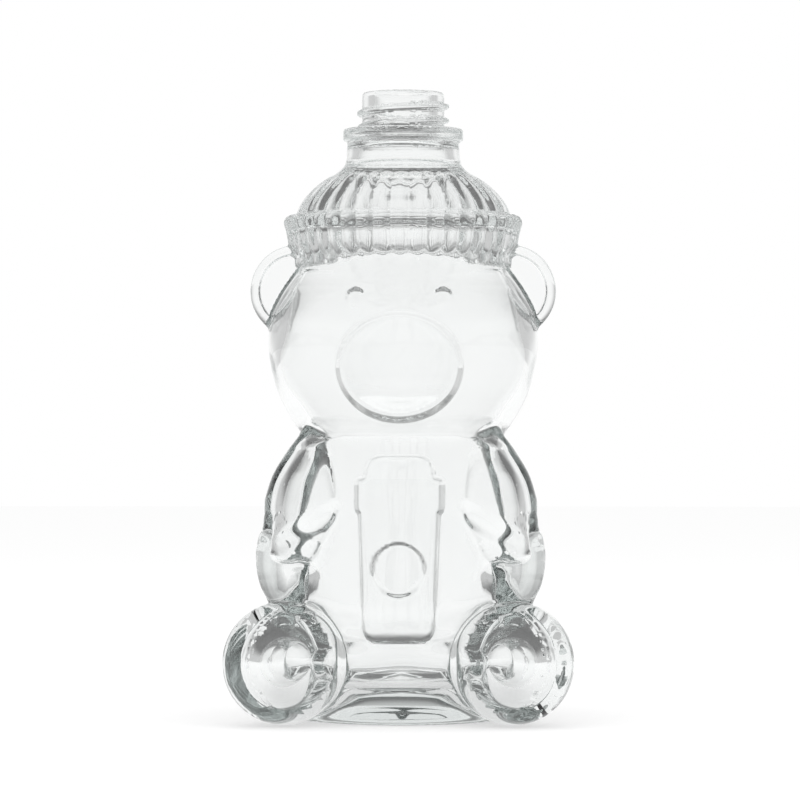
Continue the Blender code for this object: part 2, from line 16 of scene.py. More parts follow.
import bpy
import numpy as np
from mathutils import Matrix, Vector


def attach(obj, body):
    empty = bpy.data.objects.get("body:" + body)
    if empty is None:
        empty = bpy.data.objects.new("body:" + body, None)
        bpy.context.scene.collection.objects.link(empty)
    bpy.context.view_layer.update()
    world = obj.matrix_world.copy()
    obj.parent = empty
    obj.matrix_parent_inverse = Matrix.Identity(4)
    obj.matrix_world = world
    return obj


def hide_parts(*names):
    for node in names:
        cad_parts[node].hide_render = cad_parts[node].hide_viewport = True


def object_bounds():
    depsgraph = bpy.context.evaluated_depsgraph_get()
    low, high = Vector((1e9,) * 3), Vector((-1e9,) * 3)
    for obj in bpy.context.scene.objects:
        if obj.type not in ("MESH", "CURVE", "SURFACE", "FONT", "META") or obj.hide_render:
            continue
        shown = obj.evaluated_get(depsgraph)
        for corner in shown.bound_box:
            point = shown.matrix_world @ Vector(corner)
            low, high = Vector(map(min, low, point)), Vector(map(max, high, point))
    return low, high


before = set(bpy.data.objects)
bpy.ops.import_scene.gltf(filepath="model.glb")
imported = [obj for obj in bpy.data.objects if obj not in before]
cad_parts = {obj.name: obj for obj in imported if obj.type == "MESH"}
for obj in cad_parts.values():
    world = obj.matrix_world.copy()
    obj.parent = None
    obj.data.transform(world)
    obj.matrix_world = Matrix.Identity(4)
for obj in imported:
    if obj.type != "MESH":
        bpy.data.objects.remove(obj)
CAD_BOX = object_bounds()
MM = 0.001
TINY = 1e-9
PIECES_PER_SPAN = 2
REFINE_WITHIN = 8.0 * MM
REFINE_ROUNDS = 2
LOG = logging.getLogger("bear_bottle")
WHITE = (1.0, 1.0, 1.0, 1.0)

Array = np.ndarray
Number = Union[float, "Expression"]


class Place(NamedTuple):
    """Places to measure at, as three arrays that spread over each other."""

    x: Array
    y: Array
    z: Array


Form = Callable[[Place], Array]


def melt(first: Array, second: Array, width: float) -> Array:
    """Join two forms with a fillet.

    Args:
        first: Distances to one form, negative inside it.
        second: Distances to the other form.
        width: Size of the fillet between them.

    Returns:
        Distances to both forms together.
    """
    share = np.clip(0.5 + 0.5 * (second - first) / width, 0.0, 1.0)
    return second + (first - second) * share - width * share * (1.0 - share)


def overlap(first: Array, second: Array, width: float) -> Array:
    """Keep what two forms share, with its edge rounded by a width."""
    return -melt(-first, -second, width)


def length(*parts: Array) -> Array:
    """Return the length of a vector from its parts."""
    return np.sqrt(sum(part * part for part in parts))


def ramp(value: Array, low: float, high: float) -> Array:
    """Return a smooth step from 0 at low to 1 at high."""
    share = np.clip((value - low) / (high - low), 0.0, 1.0)
    return share * share * (3.0 - 2.0 * share)


@dataclass(frozen=True)
class Curve:
    """A smooth curve of several values over one rising level.

    Attributes:
        rows: Rows of level and values, in rising order of level.
    """

    rows: tuple[tuple[float, ...], ...]

    @classmethod
    def scaled(cls, shares: Iterable[Sequence[float]], start: float, height: float, *sizes: float) -> Curve:
        """Build a curve from shares.

        Args:
            shares: Rows of shares, the first of the height and the others of the sizes.
            start: Level at which the height begins.
            height: What the first share is of.
            sizes: What each of the other shares is of.

        Returns:
            The curve in metres.
        """
        return cls(tuple(
            (start + level * height, *(share * size for share, size in zip(row, sizes)))
            for level, *row in shares
        ))

    def at(self, level: Array) -> list[tuple[Array, Array]]:
        """Read the curve.

        Args:
            level: Where to read it; past its ends it goes on flat.

        Returns:
            A pair for each value: the value and its slope over the level.
        """
        table = np.array(self.rows)
        knots, values = table[:, 0], table[:, 1:]
        slopes = np.gradient(values, knots, axis=0)
        inside = np.clip(level, knots[0], knots[-1])
        span = np.clip(np.searchsorted(knots, inside, side="right") - 1, 0, len(knots) - 2)
        gap = knots[span + 1] - knots[span]
        t = (inside - knots[span]) / gap
        within = ((level > knots[0]) & (level < knots[-1])).astype(float)
        result = []
        for column in range(values.shape[1]):
            low, high = values[span, column], values[span + 1, column]
            start, end = slopes[span, column] * gap, slopes[span + 1, column] * gap
            a, b = 2 * low - 2 * high + start + end, -3 * low + 3 * high - 2 * start - end
            value = ((a * t + b) * t + start) * t + low
            slope = ((3 * a * t + 2 * b) * t + start) / gap * within
            result.append((value, slope))
        return result


def path_distance(at: Place, rows: Sequence[Sequence[float]], shrink: float = 0.0) -> Array:
    """Measure to a limb whose radius changes along a smooth path.

    Args:
        at: Places to measure at.
        rows: Rows of x, y, z and radius down the limb.
        shrink: How much thinner than the rows the limb is.

    Returns:
        Distances to the limb, negative inside it.
    """
    last = len(rows) - 1
    curve = Curve(tuple((float(span), *row) for span, row in enumerate(rows)))
    spans = np.linspace(0.0, last, PIECES_PER_SPAN * last + 1)
    smooth = np.stack([value for value, _ in curve.at(spans)], axis=1)
    best, span = np.inf, 0.0
    for first, start, end in zip(spans, smooth, smooth[1:]):
        along = end[:3] - start[:3]
        x, y, z = at.x - start[0], at.y - start[1], at.z - start[2]
        t = np.clip((x * along[0] + y * along[1] + z * along[2]) / float(along @ along), 0.0, 1.0)
        radius = start[3] + (end[3] - start[3]) * t
        here = length(x - t * along[0], y - t * along[1], z - t * along[2]) - radius
        span = np.where(here < best, first + t / PIECES_PER_SPAN, span)
        best = np.minimum(best, here)
    near = best < REFINE_WITHIN
    spot = [np.broadcast_to(part, best.shape)[near] for part in at]
    span = span[near]
    for _ in range(REFINE_ROUNDS):
        middle = curve.at(span)
        ahead = sum((part - value) * slope for part, (value, slope) in zip(spot, middle))
        square = sum(slope * slope for _, slope in middle[:3])
        span = np.clip(span + ahead / np.maximum(square, TINY), 0.0, last)
    *centre, radius = (value for value, _ in curve.at(span))
    best[near] = length(*(part - value for part, value in zip(spot, centre))) - radius + shrink
    best[~near] += shrink
    return best


def rounded_disc(radial: Array, along: Array, radius: float, half: float, edge: float) -> Array:
    """Measure to a disc with a rounded rim.

    Args:
        radial: Distances from the disc's axis.
        along: Distances along the axis from the disc's middle.
        radius: Radius of the disc.
        half: Half of its thickness.
        edge: Radius of the rounding at the rim.

    Returns:
        Distances to the disc, negative inside it.
    """
    out, up = radial - radius + edge, np.abs(along) - half + edge
    return length(np.maximum(out, 0.0), np.maximum(up, 0.0)) + np.minimum(np.maximum(out, up), 0.0) - edge


@dataclass(frozen=True)
class Stack:
    """Levels and places that the parts of the bear share, from the floor up."""

    crease: float = 78.8 * MM
    brim_bottom: float = 127.2 * MM
    ledge: float = 141.2 * MM
    neck_bottom: float = 155.4 * MM
    collar_bottom: float = 162.2 * MM
    finish_bottom: float = 165.6 * MM
    axis_y: float = 9.0 * MM
    wall: float = 3.5 * MM
    brim_wall: float = 5.5 * MM

    @property
    def lip(self) -> float:
        """Return the level of the lip, the top of the frame's box."""
        return float(CAD_BOX[1][2])

    def radius(self, at: Place) -> Array:
        """Return distances from the axis of the neck."""
        return length(at.x, at.y - self.axis_y)

    def egg(self, at: Place, sizes: Curve, shrink: float = 0.0) -> Array:
        """Measure to an egg-shaped trunk whose half width, front and back change with level.

        Args:
            at: Places to measure at.
            sizes: Half width, reach in front and reach behind, over the level.
            shrink: How much smaller than the curve the trunk is.

        Returns:
            Distances to the trunk's side, negative inside it.
        """
        (wide, wide_slope), (front, front_slope), (back, back_slope) = sizes.at(at.z)
        y = at.y - self.axis_y
        ahead = y < 0
        deep = np.where(ahead, front, back)
        deep_slope = np.where(ahead, front_slope, back_slope)
        across, along = at.x / wide, y / deep
        reach = np.maximum(length(across, along), TINY)
        square = np.maximum(length(across / wide, along / deep), TINY)
        slope = (wide_slope * across**2 + deep_slope * along**2) / reach**2
        return reach * (reach - 1.0) / square / np.sqrt(1.0 + slope**2) + shrink


@dataclass(frozen=True)
class Torso:
    """The seated body, from the base to the crease under the head."""

    stack: Stack
    half_width: float = 36.0 * MM
    front: float = 41.4 * MM
    back: float = 39.0 * MM
    base: tuple[float, float, float] = (34.0 * MM, 45.0 * MM, 34.5 * MM)
    floor: float = 9.5 * MM
    push_up: float = 1.5 * MM
    bearing: float = 5.0 * MM
    heel: float = 2.0 * MM
    top_share: float = 1.1
    top_edge: float = 6.0 * MM
    floor_edge: float = 14.0 * MM
    push_up_flat: float = 1.3
    push_up_slope: float = 1.1

    def sizes(self) -> Curve:
        """Return half width, front and back over the level."""
        shares = (
            (0.09, 1.00, 1.02, 0.975),
            (0.24, 1.02, 1.02, 0.998),
            (0.42, 0.98, 1.00, 0.998),
            (0.62, 0.92, 0.94, 0.98),
            (0.82, 0.84, 0.85, 0.92),
            (1.00, 0.775, 0.745, 0.865),
            (1.10, 0.68, 0.64, 0.76),
        )
        above = Curve.scaled(shares, 0.0, self.stack.crease, self.half_width, self.front, self.back)
        return Curve(((0.0, *self.base), *above.rows))

    def body(self, at: Place, shrink: float) -> Array:
        """Return distances to the body, open below, or to its hollow where it shrinks."""
        side = self.stack.egg(at, self.sizes(), shrink)
        return overlap(side, at.z - self.top_share * self.stack.crease, self.top_edge)

    def outside(self, at: Place) -> Array:
        """Return distances to the outer surface of the body."""
        return overlap(self.body(at, 0.0), -at.z, self.heel)

    def inside(self, at: Place) -> Array:
        """Return distances to the hollow of the body."""
        return overlap(self.body(at, self.stack.wall), self.floor - at.z, self.floor_edge)

    def recess(self, at: Place) -> Array:
        """Return distances to the shallow push-up under the base."""
        wide, front, back = (size - 2 * self.bearing for size in self.base)
        y = at.y - self.stack.axis_y
        deep = np.where(y < 0, front, back)
        reach = length(at.x / wide, y / deep)
        roof = self.push_up * np.clip(self.push_up_flat - reach**2, -1.0, 1.0)
        return (at.z - roof) / self.push_up_slope


@dataclass(frozen=True)
class Head:
    """The round head between the crease and the hat."""

    stack: Stack
    height: float = 48.4 * MM
    half_width: float = 38.1 * MM
    front: float = 39.4 * MM
    back: float = 39.0 * MM
    low_share: float = 0.14
    high_share: float = 1.2
    low_edge: float = 5.0 * MM
    high_edge: float = 4.0 * MM

    def sizes(self) -> Curve:
        """Return half width, front and back over the level."""
        shares = (
            (-0.16, 0.560, 0.560, 0.660),
            (0.00, 0.735, 0.770, 0.850),
            (0.06, 0.795, 0.845, 0.905),
            (0.20, 0.900, 0.935, 0.955),
            (0.38, 0.975, 0.985, 0.985),
            (0.54, 1.000, 1.000, 1.000),
            (0.68, 0.985, 0.985, 0.985),
            (0.84, 0.890, 0.930, 0.935),
            (1.00, 0.745, 0.800, 0.800),
            (1.20, 0.600, 0.600, 0.600),
        )
        return Curve.scaled(shares, self.stack.crease, self.height, self.half_width, self.front, self.back)

    def body(self, at: Place, shrink: float) -> Array:
        """Return distances to the head, or to its hollow where it shrinks."""
        side = self.stack.egg(at, self.sizes(), shrink)
        low = self.stack.crease - self.low_share * self.height - at.z
        high = at.z - self.stack.crease - self.high_share * self.height
        return overlap(overlap(side, low, self.low_edge), high, self.high_edge)

    def outside(self, at: Place) -> Array:
        """Return distances to the outer surface of the head."""
        return self.body(at, 0.0)

    def inside(self, at: Place) -> Array:
        """Return distances to the hollow of the head."""
        return self.body(at, self.stack.wall)


@dataclass(frozen=True)
class Hat:
    """The knitted hat: a ribbed, turned-up brim round a ribbed dome."""

    stack: Stack
    brim_radius: float = 33.75 * MM
    brim_ribs: int = 42
    dome_ribs: int = 36
    brim_rib: float = 0.95 * MM
    dome_rib: float = 0.75 * MM
    ledge_edge: float = 1.1 * MM
    groove_fillet: float = 0.5 * MM
    hollow_fillet: float = 8.0 * MM
    rib_softness: float = 0.02
    rib_foot_share: float = 0.6
    rib_fade_share: float = 0.5

    @property
    def dome_height(self) -> float:
        """Return the height of the dome above the ledge."""
        return self.stack.neck_bottom - self.stack.ledge

    def brim_sizes(self) -> Curve:
        """Return the brim's radius over the level."""
        height = self.stack.ledge - self.stack.brim_bottom
        shares = (
            (0.00, 0.830),
            (0.08, 0.862),
            (0.20, 0.912),
            (0.34, 0.950),
            (0.58, 0.974),
            (0.70, 0.985),
            (0.83, 1.000),
            (1.00, 0.992),
        )
        return Curve.scaled(shares, self.stack.brim_bottom, height, self.brim_radius)

    def dome_sizes(self) -> Curve:
        """Return the dome's radius over the level."""
        shares = (
            (-0.25, 0.902),
            (0.00, 0.898),
            (0.17, 0.873),
            (0.33, 0.829),
            (0.55, 0.743),
            (0.71, 0.654),
            (0.85, 0.551),
            (0.96, 0.502),
            (1.12, 0.472),
            (1.33, 0.462),
        )
        return Curve.scaled(shares, self.stack.ledge, self.dome_height, self.brim_radius)

    def rib(self, at: Place, count: int) -> Array:
        """Return how far each of a count of ribs falls: 0 on the crest and 1 in the groove."""
        turn = np.arctan2(at.x, self.stack.axis_y - at.y)
        wave = np.cos(turn * count / 2)
        return 1.0 - np.sqrt(wave * wave + self.rib_softness) / math.sqrt(1.0 + self.rib_softness)

    def brim(self, at: Place, shrink: float = 0.0) -> Array:
        """Return distances to the brim."""
        (radius, slope), = self.brim_sizes().at(at.z)
        fall = self.rib(at, self.brim_ribs) * self.brim_rib if shrink == 0.0 else self.brim_rib
        side = (self.stack.radius(at) - radius + fall) / np.sqrt(1.0 + slope**2) + shrink
        top = at.z - self.stack.ledge + shrink
        bottom = self.stack.brim_bottom - at.z + self.rib_foot_share * fall
        return overlap(overlap(side, top, 2 * self.ledge_edge), bottom, self.ledge_edge)

    def dome(self, at: Place, shrink: float = 0.0) -> Array:
        """Return distances to the dome."""
        (radius, slope), = self.dome_sizes().at(at.z)
        fade_start = self.stack.ledge + self.rib_fade_share * self.dome_height
        fade = 1.0 - ramp(at.z, fade_start, self.stack.neck_bottom)
        fall = self.rib(at, self.dome_ribs) * self.dome_rib * fade if shrink == 0.0 else self.dome_rib
        side = (self.stack.radius(at) - radius + fall) / np.sqrt(1.0 + slope**2) + shrink
        top = at.z - self.stack.collar_bottom + shrink
        bottom = self.stack.brim_bottom - at.z
        return np.maximum(np.maximum(side, top), bottom)

    def outside(self, at: Place) -> Array:
        """Return distances to the outer surface of the hat."""
        return melt(self.brim(at), self.dome(at), self.groove_fillet)

    def inside(self, at: Place) -> Array:
        """Return distances to the hollow of the hat, which is smooth inside."""
        brim, dome = self.brim(at, self.stack.brim_wall), self.dome(at, self.stack.wall)
        return melt(brim, dome, self.hollow_fillet)


@dataclass(frozen=True)
class Neck:
    """The neck, its collar and the screw finish with a right-handed thread."""

    stack: Stack
    radius: float = 15.6 * MM
    bore: float = 12.0 * MM
    collar: float = 17.0 * MM
    root: float = 11.65 * MM
    mouth: float = 8.1 * MM
    lip_edge: float = 0.9 * MM
    collar_edge: float = 0.5 * MM
    collar_fillet: float = 0.8 * MM
    bore_edge: float = 3.2 * MM
    bore_fillet: float = 1.5 * MM
    thread_fillet: float = 0.5 * MM
    thread_reach: float = 13.15 * MM
    bead: float = 0.85 * MM
    pitch: float = 4.0 * MM
    thread_level: float = 168.0 * MM
    thread_start: float = -1.15
    thread_end: float = 2.55
    thread_lead_in: float = 0.25
    thread_lead_out: float = 0.3

    def tube(self, at: Place, radius: float, low: float, high: float, edge: float) -> Array:
        """Return distances to an upright round bar with rounded rims."""
        middle, half = (low + high) / 2, (high - low) / 2
        return rounded_disc(self.stack.radius(at), at.z - middle, radius, half, edge)

    def thread(self, at: Place) -> Array:
        """Measure to the thread, a bead that climbs the root and fades at both ends."""
        turn = np.arctan2(at.y - self.stack.axis_y, at.x)
        radial = self.stack.radius(at) - (self.thread_reach - self.bead)
        best = np.inf
        for lap in (-1, 0, 1):
            half_turns = turn / math.pi + 2 * lap
            rise = at.z - self.thread_level - self.pitch * half_turns / 2
            fade = ramp(half_turns, self.thread_start, self.thread_start + self.thread_lead_in)
            fade = fade * (1.0 - ramp(half_turns, self.thread_end - self.thread_lead_out, self.thread_end))
            here = length(radial + self.bead * (1.0 - fade), rise) - self.bead * (0.5 + 0.5 * fade)
            here = np.where(fade > 0.0, here, self.bead)
            best = np.minimum(best, here)
        return best

    def outside(self, at: Place) -> Array:
        """Return distances to the outer surface of the neck and finish."""
        edge = self.collar_edge
        neck = self.tube(at, self.radius, self.stack.brim_bottom, self.stack.finish_bottom - edge, edge)
        collar = self.tube(at, self.collar, self.stack.collar_bottom, self.stack.finish_bottom, edge)
        root = self.tube(at, self.root, self.stack.ledge, self.stack.lip, self.lip_edge)
        finish = melt(root, self.thread(at), self.thread_fillet)
        return melt(melt(neck, collar, self.collar_fillet), finish, self.collar_fillet)

    def inside(self, at: Place) -> Array:
        """Return distances to the bore, which narrows from the neck to the mouth."""
        wide = self.tube(at, self.bore, self.stack.brim_bottom, self.stack.finish_bottom, self.bore_edge)
        narrow = np.maximum(self.stack.radius(at) - self.mouth, self.stack.ledge - at.z)
        return melt(wide, narrow, self.bore_fillet)


@dataclass(frozen=True)
class Ears:
    """Round ears, dished in front inside a rounded rim."""

    stack: Stack
    radius: float = 13.0 * MM
    half: float = 4.0 * MM
    rim: float = 2.7 * MM
    dish: float = 1.8 * MM
    edge_share: float = 0.62
    dish_edge: float = 1.0 * MM
    rim_edge: float = 1.2 * MM
    level: float = 119.8 * MM
    spread: float = 30.2 * MM

    def outside(self, at: Place) -> Array:
        """Return distances to the ears."""
        radial = length(np.abs(at.x) - self.spread, at.z - self.level)
        ahead = self.stack.axis_y - at.y
        disc = rounded_disc(radial, ahead, self.radius, self.half, self.edge_share * self.half)
        hollow = overlap(radial - self.radius + self.rim, self.half - self.dish - ahead, self.dish_edge)
        return overlap(disc, -hollow, self.rim_edge)


@dataclass(frozen=True)
class Mark:
    """A small round mark pressed into the front of the bear.

    Attributes:
        across: Distance of its middle to each side.
        level: Level of its middle.
        radius: Where its wall begins.
        floor: Where its wall ends, and the flat floor begins.
        depth: Depth of the floor.
        behind: Place along Y past which nothing is marked.
        fade: How far ahead of that place the mark begins to fade.
    """

    across: float
    level: float
    radius: float
    floor: float
    depth: float
    behind: float = -10.0 * MM
    fade: float = 6.0 * MM

    def offset(self, at: Place) -> Array:
        """Return how much the mark takes from the outer surface."""
        radial = length(np.abs(at.x) - self.across, at.z - self.level)
        front = 1.0 - ramp(at.y, self.behind - self.fade, self.behind)
        return self.depth * (1.0 - ramp(radial, self.floor, self.radius)) * front


@dataclass(frozen=True)
class Face:
    """The oval muzzle with its flat front, and the marks for the two small eyes."""

    stack: Stack
    head: Head
    muzzle_half_width: float = 17.4 * MM
    muzzle_half_height: float = 15.3 * MM
    muzzle_level: float = 98.0 * MM
    muzzle_stand: float = 2.4 * MM
    muzzle_edge: float = 0.5 * MM
    muzzle_draft: float = 1.7 * MM
    muzzle_depth: float = 5.0 * MM
    muzzle_crown: float = 0.8 * MM
    muzzle_lean: float = 0.9
    muzzle_root_share: float = 0.6
    eyes: Mark = Mark(12.0 * MM, 116.7 * MM, 3.4 * MM, 1.6 * MM, 0.45 * MM)

    def outside(self, at: Place) -> Array:
        """Return distances to the muzzle."""
        wide, tall = self.muzzle_half_width, self.muzzle_half_height
        across, up = at.x / wide, (at.z - self.muzzle_level) / tall
        reach = np.maximum(length(across, up), TINY)
        side = reach * (reach - 1.0) / np.maximum(length(across / wide, up / tall), TINY)
        plane = self.stack.axis_y - self.head.front - self.muzzle_stand
        draft = self.muzzle_draft * (1.0 - np.clip((at.y - plane) / self.muzzle_depth, 0.0, 1.0))
        side = (side + draft) * self.muzzle_lean
        face = plane + self.muzzle_crown * np.minimum(reach, 1.0) ** 2 - at.y
        deep = at.y - self.stack.axis_y + self.muzzle_root_share * self.head.front
        return np.maximum(overlap(side, face, 2 * self.muzzle_edge), deep)


@dataclass(frozen=True)
class Arms:
    """Full sleeves that narrow to the wrist, with a raised cuff and a short paw on each."""

    stack: Stack
    front: float = 41.4 * MM
    spread: float = 33.4 * MM
    radius: float = 11.6 * MM
    cuff: float = 3.6 * MM
    paw: float = 4.4 * MM
    paw_reach: float = 9.5 * MM
    sleeve_wall: float = 5.2 * MM
    fillet: float = 1.0 * MM

    def rows(self, shares: Iterable[Sequence[float]], size: float) -> list[tuple[float, ...]]:
        """Turn shares of the arm's sizes into rows of place and radius."""
        axis, front, crease = self.stack.axis_y, self.front, self.stack.crease
        return [
            (across * self.spread, axis - along * front, level * crease, radius * size)
            for across, along, level, radius in shares
        ]

    def sleeve_rows(self) -> list[tuple[float, ...]]:
        """Return the sleeve's path from the shoulder to the wrist."""
        shares = (
            (0.66, 0.38, 0.975, 0.60),
            (0.70, 0.42, 0.910, 0.78),
            (0.75, 0.49, 0.820, 0.97),
            (0.79, 0.55, 0.730, 1.02),
            (0.87, 0.58, 0.655, 0.86),
            (0.965, 0.59, 0.585, 0.68),
            (0.965, 0.60, 0.510, 0.62),
            (0.93, 0.58, 0.445, 0.53),
        )
        return self.rows(shares, self.radius)

    def outside(self, at: Place) -> Array:
        """Return distances to both arms."""
        here = Place(np.abs(at.x), at.y, at.z)
        cuff_shares = (
            (0.985, 0.700, 0.590, 0.80),
            (0.925, 0.735, 0.637, 0.95),
            (0.76, 0.755, 0.690, 1.00),
            (0.64, 0.748, 0.722, 0.95),
            (0.57, 0.725, 0.740, 0.75),
        )
        paw_shares = (
            (0.00, 0.57, 0.500, 1.00),
            (0.50, 0.62, 0.495, 1.00),
            (0.85, 0.66, 0.490, 0.90),
            (1.00, 0.68, 0.488, 0.66),
        )
        wrist = self.spread - self.radius / 3
        paw_rows = [
            (wrist - inward * self.paw_reach, *rest)
            for (inward, *_), (_, *rest) in zip(paw_shares, self.rows(paw_shares, self.paw))
        ]
        sleeve = path_distance(here, self.sleeve_rows())
        cuff = path_distance(here, self.rows(cuff_shares, self.cuff))
        return melt(melt(sleeve, cuff, self.fillet), path_distance(here, paw_rows), self.fillet)

    def inside(self, at: Place) -> Array:
        """Return distances to the hollows of both sleeves."""
        here = Place(np.abs(at.x), at.y, at.z)
        return path_distance(here, self.sleeve_rows()[1:-2], self.sleeve_wall)


@dataclass(frozen=True)
class Legs:
    """Short legs that end in round feet, with the lap between them."""

    stack: Stack
    foot_radius: float = 16.7 * MM
    foot_spread: float = 31.1 * MM
    foot_reach: float = 57.0 * MM
    foot_half: float = 13.5 * MM
    foot_edge: float = 10.5 * MM
    clearance: float = 0.5 * MM
    leg_radius: float = 14.4 * MM
    leg_wall: float = 4.4 * MM
    foot_hollow: float = 9.8 * MM
    foot_hollow_reach: float = 41.6 * MM
    lap_front: float = 46.8 * MM
    lap_height: float = 33.0 * MM
    bar_radius: float = 7.2 * MM
    bar_hollow: float = 3.6 * MM
    bar_level: float = 16.9 * MM
    lap_slope: tuple[float, float] = (0.80, 0.60)
    lap_slope_share: float = 0.78
    lap_face_share: float = 0.90
    lap_face_level_share: float = 0.72
    lap_face_lean: float = 0.18
    lap_bottom_share: float = 0.2
    lap_back_share: float = 0.3
    lap_edge: float = 4.0 * MM
    lap_bottom_edge: float = 2.0 * MM
    bar_fillet: float = 1.0 * MM
    lap_fillet: float = 2.0 * MM
    foot_fillet: float = 3.0 * MM
    hollow_fillet: float = 4.0 * MM

    def leg_rows(self) -> list[tuple[float, ...]]:
        """Return the leg's path from the hip to the ankle."""
        shares = (
            (0.30, 0.05, 0.60),
            (0.42, 0.25, 1.00),
            (0.60, 0.42, 1.04),
            (0.80, 0.56, 1.02),
            (1.00, 0.70, 0.96),
        )
        axis, level = self.stack.axis_y, self.clearance + self.foot_radius
        return [
            (across * self.foot_spread, axis - along * self.foot_reach, level, radius * self.leg_radius)
            for across, along, radius in shares
        ]

    def foot(self, at: Place) -> Array:
        """Return distances to the round feet."""
        radial = length(np.abs(at.x) - self.foot_spread, at.z - self.clearance - self.foot_radius)
        middle = self.stack.axis_y - self.foot_reach + self.foot_half
        return rounded_disc(radial, at.y - middle, self.foot_radius, self.foot_half, self.foot_edge)

    def lap(self, at: Place) -> Array:
        """Return distances to the lap, a rounded bar and the slope that rises from it to the belly."""
        y = self.stack.axis_y - at.y
        bar = length(y - self.lap_front + self.bar_radius, at.z - self.bar_level) - self.bar_radius
        top = at.z - self.lap_height
        forward, upward = self.lap_slope
        slope = (y - self.lap_slope_share * self.lap_front) * forward + top * upward
        lean = self.lap_face_lean * (at.z - self.lap_face_level_share * self.lap_height)
        front = (y - self.lap_face_share * self.lap_front - lean) / math.hypot(1.0, self.lap_face_lean)
        block = overlap(overlap(slope, top, self.lap_edge), front, self.lap_edge)
        block = overlap(block, self.lap_bottom_share * self.lap_height - at.z, self.lap_bottom_edge)
        ends = np.abs(at.x) - self.foot_spread + self.foot_radius / 3
        behind = self.lap_back_share * self.lap_front - y
        return np.maximum(melt(bar, block, self.bar_fillet), np.maximum(ends, behind))

    def outside(self, at: Place) -> Array:
        """Return distances to the legs, feet and lap."""
        leg = path_distance(Place(np.abs(at.x), at.y, at.z), self.leg_rows())
        return melt(melt(leg, self.lap(at), self.lap_fillet), self.foot(at), self.foot_fillet)

    def inside(self, at: Place) -> Array:
        """Return distances to the hollows of the legs and feet, and of the bar that joins them."""
        level = self.clearance + self.foot_radius
        rows = [(x, y, z, radius - self.leg_wall) for x, y, z, radius in self.leg_rows()]
        rows.append((self.foot_spread, self.stack.axis_y - self.foot_hollow_reach, level, self.foot_hollow))
        legs = path_distance(Place(np.abs(at.x), at.y, at.z), rows)
        forward = self.stack.axis_y - at.y - self.lap_front + self.bar_radius
        bar = length(forward, at.z - self.bar_level) - self.bar_hollow
        return melt(legs, np.maximum(bar, np.abs(at.x) - self.foot_spread), self.hollow_fillet)


@dataclass(frozen=True)
class Cup:
    """The takeaway cup on the belly: a tapered cup, its lid and a bare round badge."""

    stack: Stack
    torso: Torso
    legs: Legs
    top_radius: float = 11.1 * MM
    bottom_radius: float = 9.8 * MM
    stand: float = 6.0 * MM
    foot_stand: float = 1.1 * MM
    foot_level: float = 22.6 * MM
    body_height: float = 34.4 * MM
    lid_height: float = 10.1 * MM
    lid_radius: float = 12.3 * MM
    crown_height: float = 6.1 * MM
    crown_radius: float = 9.7 * MM
    depth: float = 6.0 * MM
    body_draft: float = 0.7 * MM
    lid_draft: float = 1.4 * MM
    crown_draft: float = 1.0 * MM
    body_edge: float = 2.4 * MM
    foot_edge: float = 5.0 * MM
    lid_edge: float = 2.0 * MM
    crown_edge: float = 1.4 * MM
    crown_root: float = 2.0 * MM
    lid_fillet: float = 0.3 * MM
    crown_fillet: float = 0.8 * MM
    top_front_share: float = 0.84
    lean: float = 0.95
    badge: Mark = Mark(0.0, 42.5 * MM, 8.0 * MM, 6.2 * MM, 1.25 * MM)

    @property
    def lid_top(self) -> float:
        """Return the height of the lid's top above the cup's foot."""
        return self.body_height + self.lid_height

    def lid_sizes(self) -> Curve:
        """Return the lid's radius over the rise, from the cup's body to its shoulder."""
        overhang = self.lid_radius - self.top_radius
        rows = ((0.0, 1.0), (0.4, 0.75), (1.1, 0.3), (2.6, 0.0), (4.0, 0.0))
        return Curve(tuple(
            (self.body_height + rise * overhang, self.lid_radius - inset * overhang) for rise, inset in rows
        ))

    def crown_sizes(self) -> Curve:
        """Return the crown's radius over the rise."""
        shares = ((-0.5, 1.0), (0.10, 1.0), (0.50, 0.97), (0.80, 0.87), (1.00, 0.72))
        return Curve.scaled(shares, self.lid_top, self.crown_height, self.crown_radius)

    def front(self, rise: Array) -> Array:
        """Return the place along Y of the cup's leaning front at a height above its foot."""
        foot = self.stack.axis_y - self.legs.lap_front - self.foot_stand
        top = self.stack.axis_y - self.top_front_share * self.torso.front - self.stand
        return foot + (top - foot) * rise / self.lid_top

    def part(self, at: Place, radius: Array, high: float, edge: float, draft: float) -> Array:
        """Measure to one stretch of the cup, whose sides widen from its front to the belly.

        Args:
            at: Places to measure at.
            radius: Half width at the belly.
            high: Rise at which the stretch ends.
            edge: Width of the rounding along its edges.
            draft: How much narrower its front is.

        Returns:
            Distances to the stretch, negative inside it.
        """
        rise = at.z - self.foot_level
        crown = np.maximum(rise - self.lid_top, 0.0)
        behind = at.y - self.front(rise) - crown / 3
        side = np.abs(at.x) - radius + draft * (1.0 - np.clip(behind / self.depth, 0.0, 1.0))
        form = overlap(overlap(side * self.lean, -behind, edge), rise - high, edge)
        return np.maximum(form, behind - 3 * self.depth)

    def outside(self, at: Place) -> Array:
        """Return distances to the cup, lid and crown."""
        rise = at.z - self.foot_level
        height = np.clip(rise / self.body_height, 0.0, 1.0)
        taper = self.bottom_radius + (self.top_radius - self.bottom_radius) * height
        body = self.part(at, taper, self.lid_top, self.body_edge, self.body_draft)
        body = overlap(body, -rise, self.foot_edge)
        lid_radius = self.lid_sizes().at(rise)[0][0]
        lid = self.part(at, lid_radius, self.lid_top, self.lid_edge, self.lid_draft)
        lid = np.maximum(lid, self.body_height - rise)
        crown_radius = self.crown_sizes().at(rise)[0][0]
        crown_top = self.lid_top + self.crown_height
        crown = self.part(at, crown_radius, crown_top, self.crown_edge, self.crown_draft)
        crown = np.maximum(crown, self.lid_top - self.crown_root - rise)
        return melt(melt(body, lid, self.lid_fillet), crown, self.crown_fillet)


